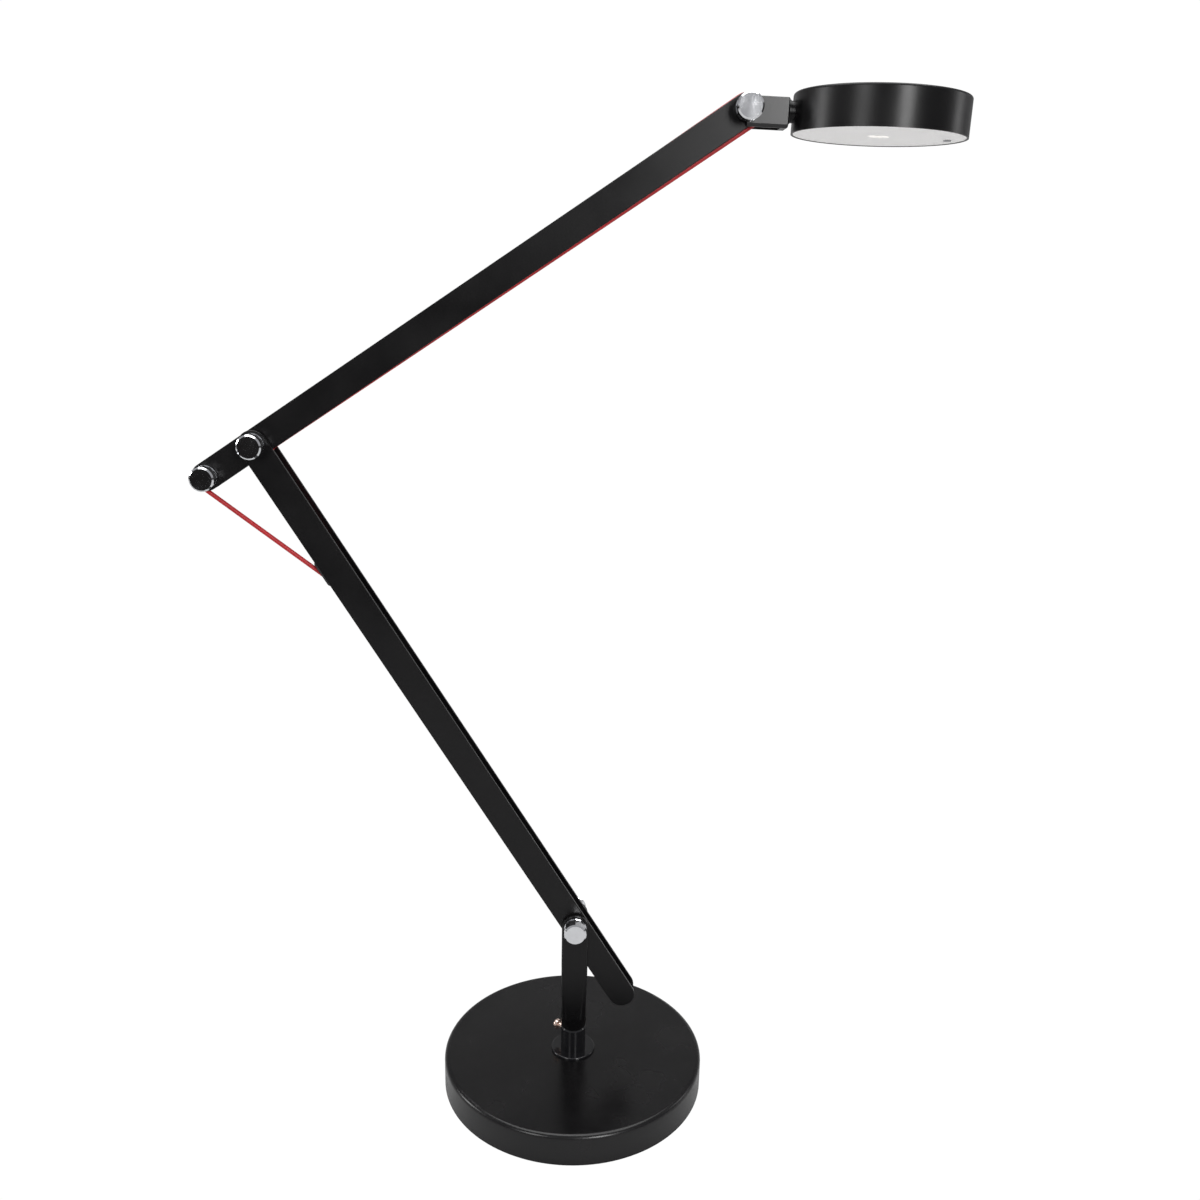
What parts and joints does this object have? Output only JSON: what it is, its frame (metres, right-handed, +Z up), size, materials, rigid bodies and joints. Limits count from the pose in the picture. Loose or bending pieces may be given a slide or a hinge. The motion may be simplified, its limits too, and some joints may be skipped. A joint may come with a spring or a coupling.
{
  "type": "architect desk lamp",
  "caption": "Architect desk lamp with a weighted round base, a swivelling forked post, two open flat-bar arms with chrome clamp knobs, and a thin round LED head fed by red leads.",
  "frame": {"origin": "centre of the base's underside, where the lamp rests on the desk", "axes": "+Z up, +X along the arms' plane towards the lamp head, -Y towards the clamp knobs' faces"},
  "size_m": [0.4542, 0.1826, 0.6532],
  "materials": {
    "black_satin_steel": "fine satin black powder coat",
    "chrome": "polished chrome plate",
    "black_gloss": "glossy black",
    "black_plastic": "moulded matt black",
    "red_lead": "red silicone insulation",
    "bare_steel": "plain bright steel",
    "cast_weight": "rough cast iron",
    "copper_screw": "rose-coloured plated brass",
    "felt_pad": "soft foam rubber",
    "white_diffuser": "white translucent acrylic",
    "clear_lens": "clear moulded lens",
    "circuit_board": "white solder mask",
    "led_yellow": "phosphor coated LED",
    "aluminium": "plain cast aluminium",
    "grey_button": "grey moulded plastic",
    "white_plastic": "white moulded plastic"
  },
  "bodies": {
    "base": {"base_cover": "black_satin_steel", "lead_gland": "black_plastic", "base_weight": "cast_weight", "base_bottom_plate": "bare_steel", "base_pad": "felt_pad", "base_screws": "bare_steel", "terminal_block": "white_plastic", "base_flange": "black_gloss", "socket_collar": "black_gloss", "socket_nut": "bare_steel", "leads_base": "red_lead"},
    "set_screw": {"set_screw": "copper_screw"},
    "post": {"post": "black_satin_steel", "base_bolt": "bare_steel", "base_bolt_cap": "chrome", "base_washers": "black_plastic", "leads_post": "red_lead"},
    "base_knob": {"base_knob": "chrome"},
    "lower_arm": {"lower_arm_front_plate": "black_satin_steel", "lower_arm_rear_plate": "black_satin_steel", "lower_arm_spacers": "bare_steel", "base_sleeve": "bare_steel", "lead_guide": "black_plastic", "elbow_bolt": "bare_steel", "elbow_bolt_cap": "chrome", "elbow_washers": "black_plastic", "leads_base_joint": "red_lead", "leads_lower_arm": "red_lead"},
    "elbow_knob": {"elbow_knob": "chrome"},
    "upper_arm": {"upper_arm_front_plate": "black_satin_steel", "upper_arm_rear_plate": "black_satin_steel", "upper_arm_spacers": "bare_steel", "elbow_sleeve": "bare_steel", "tail_bolt": "chrome", "head_drum": "black_plastic", "lead_span": "red_lead", "lead_elbow": "red_lead", "leads_upper_arm": "red_lead"},
    "tail_roller": {"tail_roller": "black_plastic"},
    "tail_knob": {"tail_knob": "chrome"},
    "bracket": {"bracket": "black_satin_steel", "head_bolt": "bare_steel", "head_bolt_cap": "chrome", "head_washers": "black_plastic", "leads_head_joint": "red_lead"},
    "head_knob": {"head_knob": "chrome"},
    "head": {"neck": "black_plastic", "neck_clip": "bare_steel", "neck_nut": "bare_steel", "head_shell": "black_satin_steel", "diffuser": "white_diffuser", "led_lens": "clear_lens", "led_chips": "led_yellow", "led_board": "circuit_board", "board_screws": "bare_steel", "heat_sink": "aluminium", "head_terminal": "white_plastic", "dimmer_switch": "white_plastic", "leads_head": "red_lead"},
    "dimmer_button": {"dimmer_button": "grey_button"}
  },
  "joints": [
    {"name": "base_swivel", "type": "hinge", "parent": "base", "child": "post", "pos_m": [0, 0, 0.04], "axis": [0, 0, 1], "range_deg": [-170, 170]},
    {"name": "set_screw_turn", "type": "hinge", "parent": "base", "child": "set_screw", "pos_m": [0, 0, 0.0364], "axis": [-0.8192, 0.5736, 0], "range_deg": [-360, 360]},
    {"name": "base_tilt", "type": "hinge", "parent": "post", "child": "lower_arm", "pos_m": [0, 0, 0.124], "axis": [0, 1, 0], "range_deg": [-35, 60], "deforming": ["leads_base_joint"]},
    {"name": "base_knob_turn", "type": "hinge", "parent": "post", "child": "base_knob", "pos_m": [0, 0, 0.124], "axis": [0, 1, 0], "range_deg": [-360, 360]},
    {"name": "elbow_bend", "type": "hinge", "parent": "lower_arm", "child": "upper_arm", "pos_m": [-0.19855, 0, 0.448], "axis": [0, 1, 0], "range_deg": [-50, 55], "deforming": ["lead_span", "lead_elbow"]},
    {"name": "elbow_knob_turn", "type": "hinge", "parent": "lower_arm", "child": "elbow_knob", "pos_m": [-0.19855, 0, 0.448], "axis": [0, 1, 0], "range_deg": [-360, 360]},
    {"name": "tail_roller_spin", "type": "hinge", "parent": "upper_arm", "child": "tail_roller", "pos_m": [-0.22836, 0, 0.42782], "axis": [0, 1, 0], "continuous": true},
    {"name": "tail_knob_turn", "type": "hinge", "parent": "upper_arm", "child": "tail_knob", "pos_m": [-0.22836, 0, 0.42782], "axis": [0, 1, 0], "range_deg": [-360, 360]},
    {"name": "head_tilt", "type": "hinge", "parent": "upper_arm", "child": "bracket", "pos_m": [0.08962, 0, 0.64311], "axis": [0, 1, 0], "range_deg": [-60, 75], "deforming": ["leads_head_joint"]},
    {"name": "head_knob_turn", "type": "hinge", "parent": "bracket", "child": "head_knob", "pos_m": [0.08962, 0, 0.64311], "axis": [0, 1, 0], "range_deg": [-360, 360]},
    {"name": "head_swivel", "type": "hinge", "parent": "bracket", "child": "head", "pos_m": [0.1091, 0, 0.64243], "axis": [0.9997, 0, -0.0244], "range_deg": [-90, 90]},
    {"name": "dimmer_press", "type": "slide", "parent": "head", "child": "dimmer_button", "axis": [0.0244, 0, 0.9997], "range_m": [0, 0.0008], "stiffness_N_per_m": 400, "springref_m": -0.0002}
  ]
}
